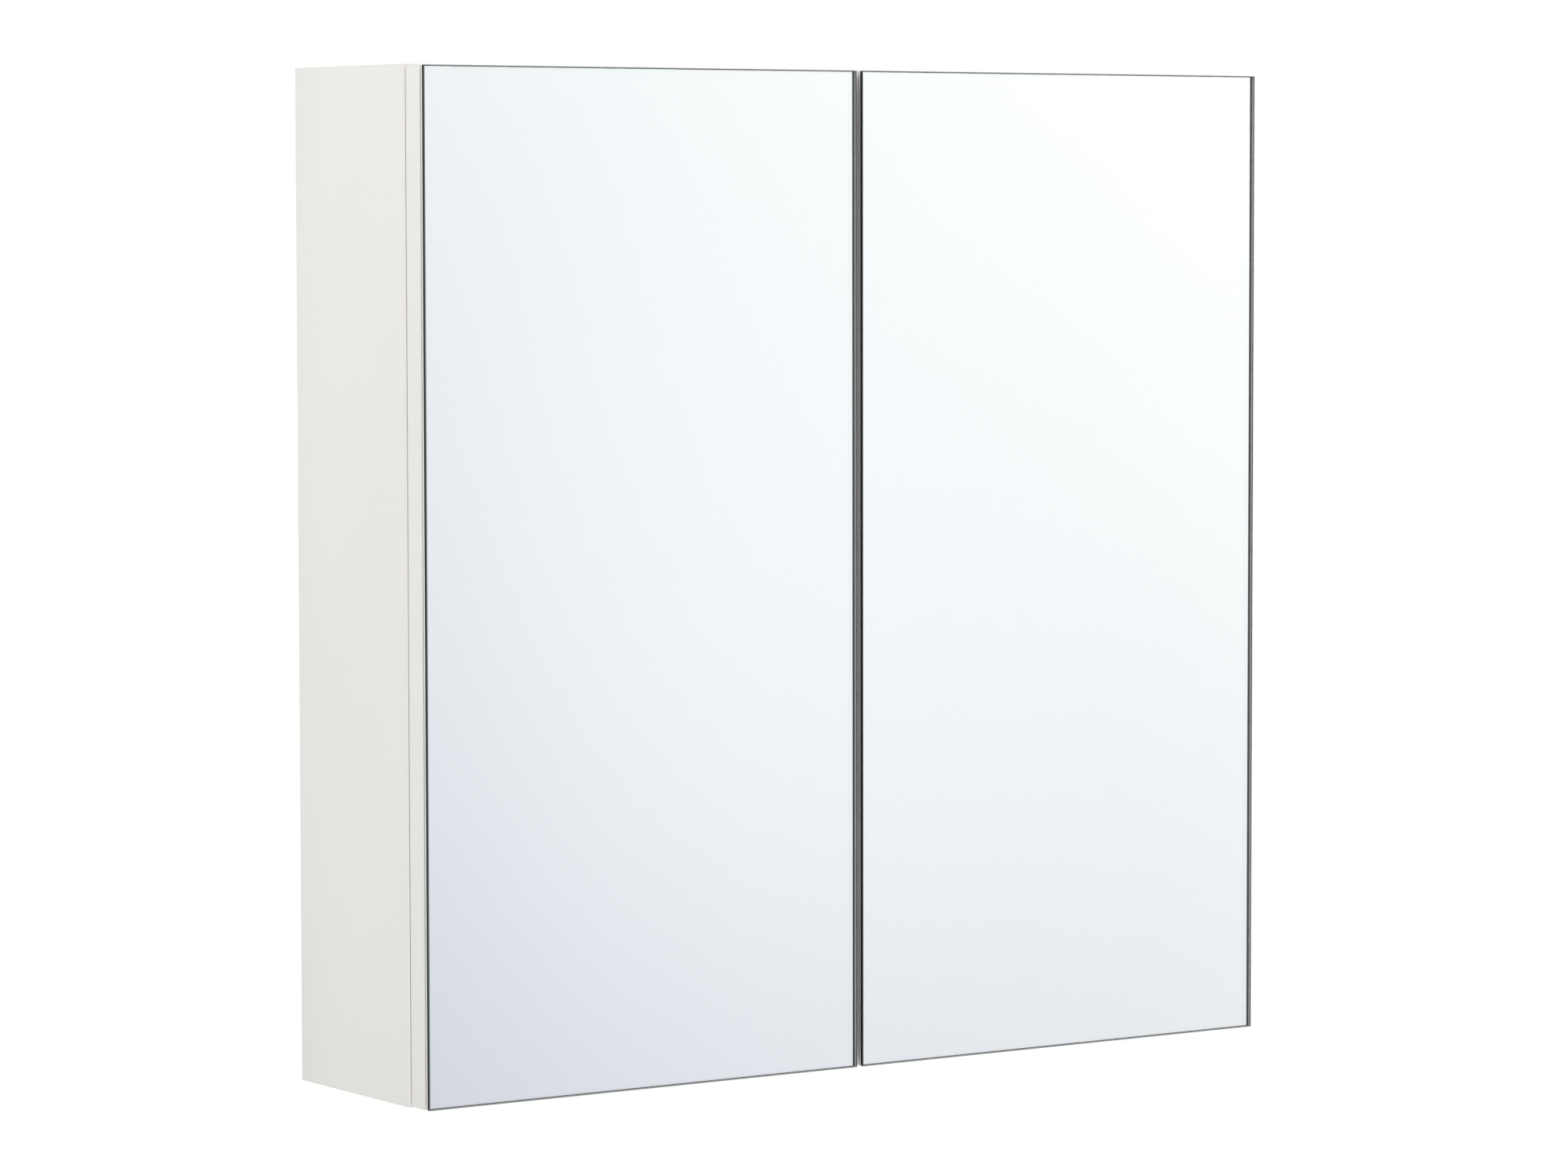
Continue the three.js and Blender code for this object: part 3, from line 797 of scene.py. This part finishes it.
def surroundings():
    """White where it is looked at. Where it is reflected, a soft room: pale blue-grey ahead and below, white
    at the sides and behind, with one glow on each side. A little weaker where it lights a dull surface."""
    rise, shade_until, fade = 0.854, 0.357, 0.262
    shade_slope, softness, brightest = 0.08, 0.2, 1.15
    behind_from, behind_to, behind_gain = -0.2, 0.5, 1.5
    glow_side, glow_width, glow_drop, glow_height, glow_gain = 0.537, 0.084, 0.104, 0.142, 0.115
    world = bpy.data.worlds.new("studio")
    bpy.context.scene.world = world
    world.use_nodes = True
    tree = world.node_tree
    tree.nodes.clear()
    way = add_node(tree, "ShaderNodeTexCoord").outputs["Generated"]
    parts = add_node(tree, "ShaderNodeSeparateXYZ", inputs={0: way}).outputs
    sideways, back, up = abs(Value(parts[0])), Value(parts[1]), Value(parts[2])

    level = (sideways + up * rise - shade_until) / fade
    level = level.math("SMOOTH_MAX", level * shade_slope, softness)
    level = level + back.between(behind_from, behind_to) * behind_gain
    room = mixed(tree, level.least(brightest), ROOM_SHADE, ROOM_LIGHT, clamped=False)
    from_glow = add_node(tree, "ShaderNodeCombineXYZ", inputs={
        "X": (sideways - glow_side) / glow_width, "Y": (up + glow_drop) / glow_height,
    })
    away = add_node(tree, "ShaderNodeVectorMath", {"operation": "LENGTH"}, {0: from_glow.outputs[0]})
    glow = 1 + (1 - Value(away.outputs["Value"]).between(0, 1)) * glow_gain

    rays = add_node(tree, "ShaderNodeLightPath").outputs
    looked_at = Value(rays["Is Camera Ray"])
    mirrored = Value(rays["Is Glossy Ray"]).most(Value(rays["Is Transmission Ray"]))
    reflected = glow * (DULL_LIGHT + mirrored * (1 - DULL_LIGHT))
    background = add_node(tree, "ShaderNodeBackground", inputs={
        "Color": mixed(tree, looked_at, room, (1.0, 1.0, 1.0)),
        "Strength": looked_at + (1 - looked_at) * reflected,
    })
    add_node(tree, "ShaderNodeOutputWorld", inputs={"Surface": background.outputs[0]})


def camera():
    """To the left of the cabinet and above its middle, turned right and tipped down a little."""
    place = (-1.94445, -2.96385, -0.02977)
    turn, tip, roll = math.radians(33.8825), math.radians(3.8422), math.radians(-0.0793)
    lens = bpy.data.cameras.new("camera")
    lens.sensor_width = 36.0
    lens.lens = 131.3658
    lens.clip_start = 0.05
    lens.clip_end = 60
    eye = bpy.data.objects.new("camera", lens)
    heading = Matrix.Rotation(-turn, 4, "Z")
    tipping = Matrix.Rotation(math.pi / 2 - tip, 4, "X")
    eye.matrix_world = Matrix.Translation(place) @ heading @ tipping @ Matrix.Rotation(roll, 4, "Z")
    bpy.context.scene.collection.objects.link(eye)
    bpy.context.scene.camera = eye


finish_boards()
nickel_plate, zinc_plate = finish_metal()
clear_glass = float_glass()
tape = foam_tape()
rubber = soft_clear()
lip = edge_band()
for door in SIDES:
    edge_lip(door, lip)
    paint(f"mirror_tape_{door}", tape)
    mirror(door, clear_glass)
    for height in LEVELS:
        bumper(door, height, rubber)
heads_tree = fastener_tree()
for turns, door in enumerate(SIDES, 1):
    cup_screws(heads_tree, door, nickel_plate, seed=turns)
    wall_screws(heads_tree, door, zinc_plate, seed=turns + 10)
cam_connectors(heads_tree, zinc_plate)
hinge_screws(heads_tree, nickel_plate)
studio()
